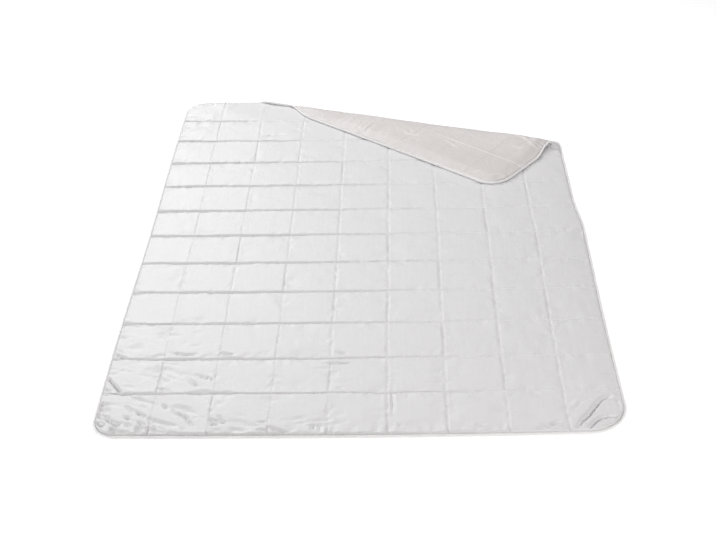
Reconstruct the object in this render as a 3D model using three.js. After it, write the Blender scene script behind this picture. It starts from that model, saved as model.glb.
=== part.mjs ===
// A quilted duvet laid out flat, with one corner turned over on itself.
// Two closed solids: the filled, quilted body, and the corded edge sewn round it.
// X runs across the duvet, Y from its near edge to its far edge, Z up. All sizes are in millimetres.

import * as THREE from 'three';

// The seams divide the body into columns (left to right) and rows (near to far), as uneven as they lie.
const COLUMN_WIDTHS = [151, 162, 167, 164, 169, 167, 169, 162, 161];
const ROW_HEIGHTS = [170, 158, 172, 165, 165, 165, 158, 168, 168, 165, 161, 165];

// The four corners: which way each lies from the middle, and the radius that its edge is sewn to.
const CORNERS = [
  { x: -1, y: -1, radius: 62 },
  { x: 1, y: -1, radius: 110 },
  { x: 1, y: 1, radius: 85 },
  { x: -1, y: 1, radius: 80 },
];

// The corded edge. The cord stands a little further off the body where it bends round the roll.
const CORD_DIAMETER = 8;
const CORD_SIDES = 6;
const CORD_GAP = 0.3;
const CORD_EASE = 0.8;
const CORD_EASE_REACH = 25;

// The filling: heights are measured from the middle layer of the cloth.
const SEAM_HALF = 1.6;
const MIDDLE_HEIGHT = 7;
const TOP_CROWN = 11;
const BOTTOM_CROWN = 14;
const FLAP_BOTTOM_CROWN = 10;
const FLAP_TOP_CROWN = 7.5;
const CROWN_POWER = 0.4;
const CROWN_UNEVENNESS = 0.1;

// The edge sinks towards what it lies on, over the last stretch before the cord.
const EDGE_MIDDLE_HEIGHT = 4.6;
const EDGE_FALL = 55;

// The corner that is turned over. It is mirrored in a line across the duvet, and rolls over there. The
// roll is tight at the far edge, where only the cord bends, and plump at the side.
const FOLD_ANGLE = THREE.MathUtils.degToRad(18.9);
const MIRROR_OFFSET = 798.5;
const ROLL_START = -728;
const ROLL_LENGTH = 1260;
const ROLL_RADIUS_AT_FAR_EDGE = 6;
const ROLL_RADIUS_AT_SIDE = 17;
const ROLL_TAKE_UP = 20;
const ROLL_STEPS = 5;
const ROLL_SHARE = 0.55;

// The flap rests on the cloth under it: the distance between their middle layers, once it has settled,
// and the shares of that distance that the filling of each may take up.
const LAYERS_APART = 20.5;
const LAID_SHARE = 0.52;
const FLAP_SHARE = 0.36;
const FLAP_EDGE_LIFT = 5.3;
const FLAP_FALL = 150;
const FLAP_SETTLE = 60;
const FLAP_SLIDE = 7.6;
const FLAP_TOP_SPREAD = 150;

// How unevenly the laid cloth lies, as shifts within its own plane.
const SIDE_TAPER = 6;
const SIDE_WAVE = 3;
const ROW_BOW = 9;

// Steps within a square, as fractions of its side. The outermost squares have more, for the corners.
const INNER_STEPS = [0, 0.16, 0.5, 0.84];
const OUTER_STEPS = [0, 0.16, 0.45, 0.7, 0.88];
const SNAP = 0.8;

const WIDTH = COLUMN_WIDTHS.reduce((sum, size) => sum + size, 0);
const LENGTH = ROW_HEIGHTS.reduce((sum, size) => sum + size, 0);
const FOLD_NORMAL = { x: Math.sin(FOLD_ANGLE), y: Math.cos(FOLD_ANGLE) };
const CORD_RADIUS = CORD_DIAMETER / 2;

const clamp01 = (t) => Math.min(1, Math.max(0, t));
const mix = (a, b, t) => a + (b - a) * t;

function smooth(t) {
  const c = clamp01(t);
  return c * c * (3 - 2 * c);
}

// The seam places along one side, starting at minus half its length.
function seamPlaces(sizes) {
  const places = [-sizes.reduce((sum, size) => sum + size, 0) / 2];
  for (const size of sizes) {
    places.push(places[places.length - 1] + size);
  }
  return places;
}

const SEAMS_X = seamPlaces(COLUMN_WIDTHS);
const SEAMS_Y = seamPlaces(ROW_HEIGHTS);

// All grid lines along one side: every seam, and the steps between it and the next one.
function gridLines(seams) {
  const lines = [];
  for (let k = 0; k + 1 < seams.length; k += 1) {
    const first = k === 0;
    const last = k + 2 === seams.length;
    let steps = INNER_STEPS;
    if (last) {
      steps = OUTER_STEPS;
    }
    if (first) {
      steps = OUTER_STEPS.map((t) => (t === 0 ? 0 : 1 - t)).sort((a, b) => a - b);
    }
    for (const t of steps) {
      lines.push(mix(seams[k], seams[k + 1], t));
    }
  }
  lines.push(seams[seams.length - 1]);
  return lines;
}

// Which square a place lies in, and how far across it, from 0 at one seam to 1 at the next.
function squareAt(place, seams) {
  let k = 0;
  while (k + 2 < seams.length && place >= seams[k + 1]) {
    k += 1;
  }
  return { index: k, across: clamp01((place - seams[k]) / (seams[k + 1] - seams[k])) };
}

// How full the filling is at a place: 0 on every seam, about 1 in the middle of a square.
function fullness(x, y) {
  const column = squareAt(x, SEAMS_X);
  const row = squareAt(y, SEAMS_Y);
  const across = Math.max(0, Math.sin(Math.PI * column.across) * Math.sin(Math.PI * row.across));
  const uneven = 1 - CROWN_UNEVENNESS * (0.5 + 0.5 * Math.sin(1.9 * column.index + 2.7 * row.index));
  return across ** CROWN_POWER * uneven;
}

// A square corner patch is drawn onto a quarter disc, so that the grid follows the rounded corner.
function roundCorners(x, y) {
  for (const corner of CORNERS) {
    const cx = corner.x * (WIDTH / 2 - corner.radius);
    const cy = corner.y * (LENGTH / 2 - corner.radius);
    const a = corner.x * (x - cx) / corner.radius;
    const b = corner.y * (y - cy) / corner.radius;
    if (a > 0 && b > 0) {
      const inA = a * Math.sqrt(1 - b * b / 2);
      const inB = b * Math.sqrt(1 - a * a / 2);
      return { x: cx + corner.x * corner.radius * inA, y: cy + corner.y * corner.radius * inB };
    }
  }
  return { x, y };
}

// Distance from the sewn edge, inwards, on the flat cloth.
function distanceFromEdge(x, y) {
  const corner = CORNERS.find((c) => c.x * x >= 0 && c.y * y >= 0);
  const a = Math.abs(x) - WIDTH / 2 + corner.radius;
  const b = Math.abs(y) - LENGTH / 2 + corner.radius;
  const outside = Math.hypot(Math.max(a, 0), Math.max(b, 0));
  return corner.radius - outside - Math.min(Math.max(a, b), 0);
}

// The flat cloth as it lies: the sides drift in towards the far edge, and the rows bow.
function layDown(x, y) {
  const side = x / (WIDTH / 2);
  const along = y / (LENGTH / 2);
  const drift = -SIDE_TAPER * along + SIDE_WAVE * Math.sin(4 * along + 0.6 * side);
  const bow = ROW_BOW * side * side * (side > 0 ? 1 : 0.6) - ROW_BOW / 3;
  return { x: x + drift * side ** 3, y: y + bow };
}

// Where a place of the flat cloth is in the fold. `across` is its distance past the line where the
// roll starts, `turn` the angle it has rolled through, `past` its distance beyond the roll, and
// `apart` the distance between the two middle layers, level with it.
function foldPlace(flat) {
  const along = flat.x * FOLD_NORMAL.y - flat.y * FOLD_NORMAL.x;
  const grown = clamp01((along - ROLL_START) / ROLL_LENGTH);
  const radius = mix(ROLL_RADIUS_AT_FAR_EDGE, ROLL_RADIUS_AT_SIDE, grown);
  const takeUp = ROLL_TAKE_UP * grown;
  const start = MIRROR_OFFSET - (Math.PI * radius + takeUp) / 2;
  const across = flat.x * FOLD_NORMAL.x + flat.y * FOLD_NORMAL.y - start;
  const turn = Math.min(Math.PI, Math.max(0, across / radius));
  const past = Math.max(0, across - Math.PI * radius);
  const away = Math.max(past, -across);
  const apart = mix(2 * radius, LAYERS_APART, smooth(away / FLAP_FALL));
  return { along, radius, takeUp, start, across, turn, past, apart };
}

// A place of the flat cloth, lifted by `rise` from its middle layer towards its upper side, after the
// corner is turned over. Before the fold line the cloth lies flat, then it rolls over, and past the
// roll it comes back over itself and settles to the height of the flap.
function foldOver(flat, rise, fromEdge) {
  const { along, radius, takeUp, start, across, turn, past, apart } = foldPlace(flat);
  const back = past - takeUp * smooth(past / FLAP_SETTLE);
  const laid = turn < Math.PI / 2;
  const edgeSink = laid ? MIDDLE_HEIGHT - EDGE_MIDDLE_HEIGHT : apart * (1 - LAID_SHARE) - FLAP_EDGE_LIFT;
  const sunk = edgeSink * (1 - smooth(fromEdge / EDGE_FALL)) * Math.cos(turn) ** 2;
  const settled = past > 0 ? apart - 2 * radius : 0;
  const middle = MIDDLE_HEIGHT + radius * (1 - Math.cos(turn)) + settled - sunk;
  const outwards = across < 0 ? across : radius * Math.sin(turn) - back;
  const line = start + outwards - rise * Math.sin(turn);
  const slid = along - FLAP_SLIDE * smooth(past / FLAP_FALL);
  return new THREE.Vector3(
    FOLD_NORMAL.x * line + FOLD_NORMAL.y * slid,
    FOLD_NORMAL.y * line - FOLD_NORMAL.x * slid,
    Math.max(0, middle + rise * Math.cos(turn)),
  );
}

// How far the filling lifts the upper side (the one that lies inside the fold). Under the flap and
// within it, each layer keeps to its share of the room between the two.
function upperRise(full, fold) {
  const turned = smooth(2 * fold.turn / Math.PI);
  const inRoll = Math.sin(fold.turn) ** 2;
  const nearFlap = smooth((fold.along - ROLL_START) / FLAP_TOP_SPREAD + 1);
  const crown = mix(TOP_CROWN, FLAP_TOP_CROWN, turned);
  const rise = SEAM_HALF + (crown - SEAM_HALF) * full;
  const room = fold.apart * mix(LAID_SHARE, FLAP_SHARE, turned);
  const held = mix(Math.min(rise, room), Math.min(rise, fold.radius * ROLL_SHARE), inRoll);
  return mix(rise, held, nearFlap);
}

// How far the filling lifts the lower side, which lies outside the fold.
function lowerRise(full, fold) {
  const turned = smooth(2 * fold.turn / Math.PI);
  const crown = mix(BOTTOM_CROWN, FLAP_BOTTOM_CROWN, turned);
  return SEAM_HALF + (crown - SEAM_HALF) * full;
}

// One point of the body's upper (side 1) or lower (side -1) face.
function bodyPoint(x, y, side) {
  const round = roundCorners(x, y);
  const flat = layDown(round.x, round.y);
  const fold = foldPlace(flat);
  const full = fullness(x, y);
  const rise = side > 0 ? upperRise(full, fold) : -lowerRise(full, fold);
  return foldOver(flat, rise, distanceFromEdge(round.x, round.y));
}

// The flat grid, cut into triangles. Each vertex is a place { x, y } before its corner is rounded.
function flatTriangles() {
  const xs = gridLines(SEAMS_X);
  const ys = gridLines(SEAMS_Y);
  const places = [];
  for (const y of ys) {
    for (const x of xs) {
      places.push({ x, y });
    }
  }
  const triangles = [];
  for (let j = 0; j + 1 < ys.length; j += 1) {
    for (let i = 0; i + 1 < xs.length; i += 1) {
      const a = j * xs.length + i;
      const b = a + 1;
      const c = a + xs.length + 1;
      const d = a + xs.length;
      const rising = (xs[i] + xs[i + 1]) * (ys[j] + ys[j + 1]) > 0;
      if (rising) {
        triangles.push([a, b, c], [a, c, d]);
      } else {
        triangles.push([a, b, d], [b, c, d]);
      }
    }
  }
  return { places, triangles };
}

// Cuts every triangle that a line parallel to the fold crosses, so that the roll is faceted evenly.
function cutAlongFold(mesh, level) {
  const height = mesh.places.map((place) => {
    const round = roundCorners(place.x, place.y);
    const { across, radius } = foldPlace(layDown(round.x, round.y));
    const offset = across - level * Math.PI * radius;
    return Math.abs(offset) < SNAP ? 0 : offset;
  });
  const cuts = new Map();
  function cutBetween(a, b) {
    const key = a < b ? `${a} ${b}` : `${b} ${a}`;
    if (!cuts.has(key)) {
      const t = height[a] / (height[a] - height[b]);
      const from = mesh.places[a];
      const to = mesh.places[b];
      cuts.set(key, mesh.places.push({ x: mix(from.x, to.x, t), y: mix(from.y, to.y, t) }) - 1);
    }
    return cuts.get(key);
  }
  const triangles = [];
  for (const triangle of mesh.triangles) {
    const crossed = [0, 1, 2].filter((k) => height[triangle[k]] * height[triangle[(k + 1) % 3]] < 0);
    if (crossed.length === 0) {
      triangles.push(triangle);
    } else if (crossed.length === 1) {
      const k = crossed[0];
      const [a, b, c] = [triangle[k], triangle[(k + 1) % 3], triangle[(k + 2) % 3]];
      const m = cutBetween(a, b);
      triangles.push([a, m, c], [m, b, c]);
    } else {
      const k = [0, 1, 2].find((n) => !crossed.includes(n));
      const [a, b, c] = [triangle[k], triangle[(k + 1) % 3], triangle[(k + 2) % 3]];
      const onRight = cutBetween(b, c);
      const onLeft = cutBetween(c, a);
      triangles.push([onLeft, onRight, c], [a, b, onRight], [a, onRight, onLeft]);
    }
  }
  mesh.triangles = triangles;
}

// The boundary of the flat triangles as one loop of vertices, counter-clockwise.
function boundaryLoop(triangles) {
  const next = new Map();
  const seen = new Set();
  for (const triangle of triangles) {
    for (let k = 0; k < 3; k += 1) {
      seen.add(`${triangle[k]} ${triangle[(k + 1) % 3]}`);
    }
  }
  for (const edge of seen) {
    const [a, b] = edge.split(' ').map(Number);
    if (!seen.has(`${b} ${a}`)) {
      next.set(a, b);
    }
  }
  const start = next.keys().next().value;
  const loop = [start];
  for (let v = next.get(start); v !== start; v = next.get(v)) {
    loop.push(v);
  }
  return loop;
}

function geometryOf(points, triangles) {
  const geometry = new THREE.BufferGeometry();
  const numbers = points.flatMap((p) => [p.x, p.y, p.z]);
  geometry.setAttribute('position', new THREE.Float32BufferAttribute(numbers, 3));
  geometry.setIndex(triangles.flat());
  geometry.computeVertexNormals();
  return geometry;
}

// The filled body: its upper face, its lower face, and the low wall between them round the edge.
function bodyGeometry(mesh, loop) {
  const count = mesh.places.length;
  const points = [
    ...mesh.places.map((place) => bodyPoint(place.x, place.y, 1)),
    ...mesh.places.map((place) => bodyPoint(place.x, place.y, -1)),
  ];
  const triangles = [...mesh.triangles];
  for (const [a, b, c] of mesh.triangles) {
    triangles.push([a + count, c + count, b + count]);
  }
  loop.forEach((a, k) => {
    const b = loop[(k + 1) % loop.length];
    triangles.push([a + count, b + count, b], [a + count, b, a]);
  });
  return geometryOf(points, triangles);
}

// The corded edge: one ring of a many-sided section, carried round the body a hair outside its wall.
// Each section stands square to the sewn edge, between the cloth's own upward direction and outwards.
function cordGeometry(mesh, loop) {
  const edge = loop.map((v) => {
    const round = roundCorners(mesh.places[v].x, mesh.places[v].y);
    const flat = layDown(round.x, round.y);
    const middle = foldOver(flat, 0, 0);
    const up = foldOver(flat, 1, 0).sub(middle);
    const { across, past } = foldPlace(flat);
    const eased = smooth(1 + across / CORD_EASE_REACH) * smooth(1 - past / CORD_EASE_REACH);
    return { middle, up, gap: CORD_GAP + CORD_EASE * eased };
  });
  const points = [];
  edge.forEach((here, k) => {
    const before = edge[(k + edge.length - 1) % edge.length];
    const after = edge[(k + 1) % edge.length];
    const run = after.middle.clone().sub(before.middle).normalize();
    const outward = run.clone().cross(here.up).normalize();
    const up = outward.clone().cross(run);
    for (let s = 0; s < CORD_SIDES; s += 1) {
      const angle = 2 * Math.PI * s / CORD_SIDES;
      const out = here.gap + CORD_RADIUS * (1 + Math.cos(angle));
      const point = here.middle.clone().addScaledVector(outward, out);
      points.push(point.addScaledVector(up, CORD_RADIUS * Math.sin(angle)));
    }
  });
  const triangles = [];
  for (let k = 0; k < edge.length; k += 1) {
    const n = (k + 1) % edge.length;
    for (let s = 0; s < CORD_SIDES; s += 1) {
      const t = (s + 1) % CORD_SIDES;
      const [a, b, c, d] = [k * CORD_SIDES + s, n * CORD_SIDES + s, n * CORD_SIDES + t, k * CORD_SIDES + t];
      triangles.push([a, b, c], [a, c, d]);
    }
  }
  return geometryOf(points, triangles);
}

function clothMaterial(color) {
  return new THREE.MeshStandardMaterial({ color, roughness: 0.85, metalness: 0 });
}

const cloth = flatTriangles();
for (let step = 0; step <= ROLL_STEPS; step += 1) {
  cutAlongFold(cloth, step / ROLL_STEPS);
}
const edgeLoop = boundaryLoop(cloth.triangles);

const body = new THREE.Mesh(bodyGeometry(cloth, edgeLoop), clothMaterial(0xe9e6e2));
body.name = 'quilted_body';
const cord = new THREE.Mesh(cordGeometry(cloth, edgeLoop), clothMaterial(0xf3f1ee));
cord.name = 'corded_edge';

const duvet = new THREE.Group();
duvet.add(body, cord);

// The origin is the middle of the whole outline, on the surface that the duvet lies on.
const bounds = new THREE.Box3().setFromObject(duvet);
const middleOfBounds = bounds.getCenter(new THREE.Vector3());
duvet.position.set(-middleOfBounds.x, -middleOfBounds.y, -bounds.min.z);
duvet.updateMatrixWorld(true);

export default duvet;
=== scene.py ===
# %% [markdown]
# # A quilted duvet with one corner turned over
#
# A summer duvet of 1.5 by 2 m lies flat on a pale floor, with its far right corner turned over.
# It is two cloths with a thin filling, sewn through in squares, and a corded edge all round. Both are
# surfaces worked out with numpy: a place of the flat cloth goes in, its place in the room comes out.

import bpy
import numpy as np
from mathutils import Matrix, Vector


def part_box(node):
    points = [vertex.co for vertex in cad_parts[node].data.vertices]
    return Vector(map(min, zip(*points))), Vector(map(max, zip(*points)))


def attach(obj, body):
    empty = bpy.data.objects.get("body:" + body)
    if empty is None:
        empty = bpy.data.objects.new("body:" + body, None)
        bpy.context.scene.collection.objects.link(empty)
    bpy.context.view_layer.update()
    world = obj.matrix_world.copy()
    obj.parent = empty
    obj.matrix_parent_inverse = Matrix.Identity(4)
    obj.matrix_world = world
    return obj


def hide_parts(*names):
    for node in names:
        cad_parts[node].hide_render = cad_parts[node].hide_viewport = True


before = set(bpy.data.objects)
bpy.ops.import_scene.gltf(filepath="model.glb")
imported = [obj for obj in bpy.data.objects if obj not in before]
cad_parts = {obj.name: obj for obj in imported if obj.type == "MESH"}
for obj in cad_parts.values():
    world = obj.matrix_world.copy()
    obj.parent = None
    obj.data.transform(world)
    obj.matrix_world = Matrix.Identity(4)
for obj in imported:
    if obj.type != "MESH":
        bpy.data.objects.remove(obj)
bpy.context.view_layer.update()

MM = 0.001


def in_scene(name, data):
    """A new object that holds the data, linked to the scene."""
    made = bpy.data.objects.new(name, data)
    bpy.context.scene.collection.objects.link(made)
    return made


# %% [markdown]
# ## The camera
#
# The photograph is taken from above the near edge, with a long lens. The camera comes first. It looks
# down, stands a little to the right of the middle, and is rolled slightly.

# %% Camera
CAMERA_DISTANCE = 4.1461
LOOKS_DOWN = np.radians(34.951)
STANDS_RIGHT = np.radians(2.550)
ROLL = np.radians(-2.226)
LOOKS_AT = Vector((-0.0187, -0.1873, 0.0))
FOCAL_LENGTH_MM = 63.494

back = Vector((np.sin(STANDS_RIGHT) * np.cos(LOOKS_DOWN),
               -np.cos(STANDS_RIGHT) * np.cos(LOOKS_DOWN),
               np.sin(LOOKS_DOWN)))
level = Vector((np.cos(STANDS_RIGHT), np.sin(STANDS_RIGHT), 0.0))
upright = back.cross(level)
right = level * np.cos(ROLL) + upright * np.sin(ROLL)
above = upright * np.cos(ROLL) - level * np.sin(ROLL)

camera_data = bpy.data.cameras.new("photo_camera")
camera_data.lens = FOCAL_LENGTH_MM
camera_data.sensor_width = 36.0
camera_data.clip_end = 50.0
camera = in_scene("photo_camera", camera_data)
place = Matrix((right, above, back)).transposed().to_4x4()
place.translation = LOOKS_AT + back * CAMERA_DISTANCE
camera.matrix_world = place
bpy.context.scene.camera = camera
print("the camera stands at", [round(v, 3) for v in place.translation])

# %% [markdown]
# ## The sewing plan
#
# The duvet is sewn in nine columns and twelve rows, and each width is its own number, because real
# seams are never quite evenly spaced. The cloth is then cut into fine steps, closer together near the
# seams, where it bends most. The near left squares are the most creased, so they get the most steps.

# %% Seams and fine steps
COLUMN_WIDTHS = np.array([151, 162, 167, 164, 169, 167, 169, 162, 161.0])
ROW_HEIGHTS = np.array([170, 158, 172, 165, 165, 165, 158, 168, 168, 165, 161, 165.0])
COLUMN_STEPS = np.array([42, 39, 30, 24, 24, 21, 21, 21, 30])
ROW_STEPS = np.array([42, 36, 33, 24, 24, 24, 21, 21, 21, 24, 24, 24])
CLOSER_AT_SEAMS = 0.42


def seam_places(widths):
    """Running sum of the widths, with 0 in the middle."""
    return np.concatenate([[0.0], np.cumsum(widths)]) - widths.sum() / 2


column_seams = seam_places(COLUMN_WIDTHS)
row_seams = seam_places(ROW_HEIGHTS)
WIDTH, LENGTH = COLUMN_WIDTHS.sum(), ROW_HEIGHTS.sum()


def fine_steps(seams, steps):
    """Even steps t in each square, less a sine wave of t, so that they are closer at both seams."""
    number = np.repeat(np.arange(len(steps)), steps)
    t = np.concatenate([np.arange(count) / count for count in steps])
    t = t - CLOSER_AT_SEAMS * np.sin(2 * np.pi * t) / (2 * np.pi)
    return np.append(seams[number] + np.diff(seams)[number] * t, seams[-1])


column_starts = np.append(0, np.cumsum(COLUMN_STEPS))
row_starts = np.append(0, np.cumsum(ROW_STEPS))
flat_x, flat_y = np.meshgrid(fine_steps(column_seams, COLUMN_STEPS), fine_steps(row_seams, ROW_STEPS))
ROWS, COLUMNS = flat_x.shape
print("the cloth is", COLUMNS, "by", ROWS, "points, on", WIDTH, "by", LENGTH, "mm")


def square_of(place, seams):
    """The square that a place lies in, and how far across it, from 0 to 1."""
    number = np.clip(np.searchsorted(seams, place, side="right") - 1, 0, len(seams) - 2)
    part = np.clip((place - seams[number]) / (seams[number + 1] - seams[number]), 0, 1)
    return number, part


def ease(t):
    """0 below 0, 1 above 1, and 3t^2 - 2t^3 in between."""
    t = np.clip(t, 0, 1)
    return t * t * (3 - 2 * t)


def blend(a, b, t):
    """a where t is 0, b where t is 1, and straight in between."""
    return a + (b - a) * t


# %% [markdown]
# ## Unevenness
#
# Nothing on sewn cloth is exact. A soft noise gives that: random numbers on a lattice, eased in
# between. A lattice that is longer one way makes ripples.

# %% Soft noise
NOISE_CELLS = 128


def soft_noise(x, y, length_x, length_y, seed):
    """Random numbers from -1 to 1 on a lattice of length_x by length_y, eased in between."""
    table = np.random.default_rng(seed).uniform(-1, 1, (NOISE_CELLS, NOISE_CELLS))
    u, v = x / length_x + NOISE_CELLS / 2, y / length_y + NOISE_CELLS / 2
    i, j = np.floor(u).astype(int), np.floor(v).astype(int)
    s, t = ease(u - i), ease(v - j)
    i, i_next = i % NOISE_CELLS, (i + 1) % NOISE_CELLS
    low, high = [blend(table[i, k % NOISE_CELLS], table[i_next, k % NOISE_CELLS], s) for k in (j, j + 1)]
    return blend(low, high, t)


print("the noise repeats after", NOISE_CELLS, "cells of its lattice")


# %% [markdown]
# ## The rounded corners
#
# Each corner of the cloth is cut to a curve of its own radius. A plain grid has square corners, so
# the last patch of it is pressed into a quarter disc, which leaves no stray triangles.

# %% Round the corners
CORNERS = [(-1, -1, 62.0), (1, -1, 110.0), (1, 1, 85.0), (-1, 1, 80.0)]


def round_corners(x, y):
    """In each corner's patch, a and b are x and y in radii; x becomes a root(1 - b^2 / 2), y likewise."""
    for side_x, side_y, radius in CORNERS:
        middle_x, middle_y = side_x * (WIDTH / 2 - radius), side_y * (LENGTH / 2 - radius)
        a, b = side_x * (x - middle_x) / radius, side_y * (y - middle_y) / radius
        inside = (a > 0) & (b > 0)
        a, b = np.clip(a, 0, 1), np.clip(b, 0, 1)
        x = np.where(inside, middle_x + side_x * radius * a * np.sqrt(1 - b * b / 2), x)
        y = np.where(inside, middle_y + side_y * radius * b * np.sqrt(1 - a * a / 2), y)
    return x, y


def distance_from_edge(x, y):
    """The distance inwards from the rounded outline."""
    found = np.zeros(np.shape(x))
    for side_x, side_y, radius in CORNERS:
        a, b = np.abs(x) - WIDTH / 2 + radius, np.abs(y) - LENGTH / 2 + radius
        here = radius - np.hypot(np.maximum(a, 0), np.maximum(b, 0)) - np.minimum(np.maximum(a, b), 0)
        found = np.where((side_x * x >= 0) & (side_y * y >= 0), here, found)
    return found


sewn_x, sewn_y = round_corners(flat_x, flat_y)
inwards = distance_from_edge(sewn_x, sewn_y)
print("the corners' radii are", [radius for _, _, radius in CORNERS], "mm")

# %% [markdown]
# ## Laying it down and turning the corner over
#
# The left side bulges a little, the right side is drawn in before the fold, the rows bow, and the far
# edge is pulled in where the fold starts. The far right corner is then mirrored in a slanted line. A
# fold has a roll there, not an edge: tight at the far edge, where only the cord bends, and plump at
# the side. Past the roll the cloth comes back and settles on the layer below.

# %% Lay and fold
MIDDLE_HEIGHT = 7.0
RIM_HEIGHT, EDGE_FALL = 6.5, 55.0
FOLD_ANGLE, MIRROR_OFFSET = np.radians(18.9), 797.0
ROLL_START, ROLL_LENGTH = -728.0, 1260.0
ROLL_AT_FAR_EDGE, ROLL_AT_SIDE, ROLL_GROWTH = 5.5, 21.5, 1.8
ROLL_TAKE_UP, ROLL_SHARE = 20.0, 0.55
LAYERS_APART, LAID_SHARE, FLAP_SHARE = 20.0, 0.52, 0.36
FLAP_EDGE_LIFT, FLAP_FALL, FLAP_SETTLE = 4.2, 150.0, 60.0
FLAP_SLIDE, FLAP_TOP_SPREAD = 7.6, 150.0
ROLL_UNEVEN, UNEVEN_LENGTH, UNEVEN_GROWTH = 0.12, 105.0, 6.0
SIDE_SLIDE, SLIDE_FROM, SLIDE_LENGTH, SLIDE_FALL = 34.0, 320.0, 170.0, 130.0
SLIDE_GROWTH, SLIDE_DELAY = 2.4, 1.0
EDGE_PULL, PULL_AT, PULL_WIDTH, PULL_REACH = 38.0, -305.0, 75.0, 230.0
SIDE_TAPER, SIDE_WAVE, WAVES_ALONG, WAVE_SKEW = 6.0, 3.0, 4.0, 0.6
ROW_BOW, BOW_AT_LEFT = 9.0, 0.6
LEFT_BULGE, BULGE_AT, BULGE_LENGTH = 8.0, -0.45, 0.42
SIDE_DRAW, DRAW_FROM, DRAW_LENGTH = 15.0, 0.02, 0.2
ACROSS_X, ACROSS_Y = np.sin(FOLD_ANGLE), np.cos(FOLD_ANGLE)


def lay_down(x, y):
    """The sides drift as s^3, the rows bow as s^2, and the far edge is pulled in where the fold starts."""
    s, a = x / (WIDTH / 2), y / (LENGTH / 2)
    drift = -SIDE_TAPER * a + SIDE_WAVE * np.sin(WAVES_ALONG * a + WAVE_SKEW * s)
    drift -= np.where(s > 0, SIDE_DRAW * ease((a - DRAW_FROM) / DRAW_LENGTH),
                      -LEFT_BULGE * np.exp(-((a - BULGE_AT) / BULGE_LENGTH)**2))
    pulled = EDGE_PULL * np.exp(-((x - PULL_AT) / PULL_WIDTH)**2) * ease((y - LENGTH / 2) / PULL_REACH + 1)
    return x + drift * s**3, y + ROW_BOW * (s * s * np.where(s > 0, 1, BOW_AT_LEFT) - 1 / 3) - pulled


def fold_place(x, y):
    """Where laid cloth lies about the fold: along it, past its start, how far round, how far back."""
    along = x * ACROSS_Y - y * ACROSS_X
    share = np.clip((along - ROLL_START) / ROLL_LENGTH, 0, 1)
    noise = soft_noise(along, 0 * along, UNEVEN_LENGTH, UNEVEN_LENGTH, seed=71)
    uneven = 1 + ROLL_UNEVEN * ease(UNEVEN_GROWTH * share) * noise
    radius = blend(ROLL_AT_FAR_EDGE, ROLL_AT_SIDE, share**ROLL_GROWTH) * uneven
    taken = ROLL_TAKE_UP * share
    start = MIRROR_OFFSET - (np.pi * radius + taken) / 2
    past = x * ACROSS_X + y * ACROSS_Y - start
    turn = np.clip(past / radius, 0, np.pi)
    back_over = np.maximum(0, past - np.pi * radius)
    apart = blend(2 * radius, LAYERS_APART, ease(np.maximum(back_over, -past) / FLAP_FALL))
    return along, radius, taken, start, past, turn, back_over, apart


def fold_over(x, y, rise, from_edge):
    """Straight before the start, a half circle of the roll's radius, then straight back above it."""
    along, radius, taken, start, past, turn, back_over, apart = fold_place(x, y)
    back = back_over - taken * ease(back_over / FLAP_SETTLE)
    sink = np.where(turn < np.pi / 2, MIDDLE_HEIGHT - RIM_HEIGHT,
                    apart * (1 - LAID_SHARE) - FLAP_EDGE_LIFT)
    sunk = sink * (1 - ease(from_edge / EDGE_FALL)) * np.cos(turn) ** 2
    settled = np.where(back_over > 0, apart - 2 * radius, 0)
    middle = MIDDLE_HEIGHT + radius * (1 - np.cos(turn)) + settled - sunk
    out = np.where(past < 0, past, radius * np.sin(turn) - back)
    line = start + out - rise * np.sin(turn)
    near_side = ease((along - SLIDE_FROM) / SLIDE_LENGTH)
    rolled = ease(SLIDE_GROWTH * turn / np.pi - SLIDE_DELAY)
    slid = (along - FLAP_SLIDE * ease(back_over / FLAP_FALL)
            - SIDE_SLIDE * near_side * rolled * (1 - ease(back_over / SLIDE_FALL)))
    height = np.maximum(0, middle + rise * np.cos(turn))
    return np.stack([ACROSS_X * line + ACROSS_Y * slid, ACROSS_Y * line - ACROSS_X * slid, height], -1)


how_far_round = fold_place(*lay_down(sewn_x, sewn_y))[5]
print("share of the cloth that is turned over:", round(float((how_far_round >= np.pi).mean()), 3))

# %% [markdown]
# ## The filling
#
# The cloth of each square is a little larger than its seams, so it puckers where the thread holds it.
# That is hard to draw and easy to simulate: a sample of three by three squares is pinned at its
# seams, made a few hundredths too large and blown up by a light pressure, without gravity. Turned and
# flipped, its nine squares are enough for the whole duvet without a repeat that shows.

# %% Simulate a sample
SAMPLE_SQUARES, SAMPLE_SIDE, SAMPLE_STEPS = 3, 165.0, 27
CLOTH_SURPLUS, PRESSURE, LAST_FRAME, MOST_MOVED = 0.035, 4.0, 20, 16.0
FIRST_DOME, FIRST_POWER, FIRST_NOISE, QUICK_GAIN = 4.0, 0.6, 0.6, 3.2
sample_seams = seam_places(np.full(SAMPLE_SQUARES, SAMPLE_SIDE))
sample_places = fine_steps(sample_seams, [SAMPLE_STEPS] * SAMPLE_SQUARES)


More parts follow.
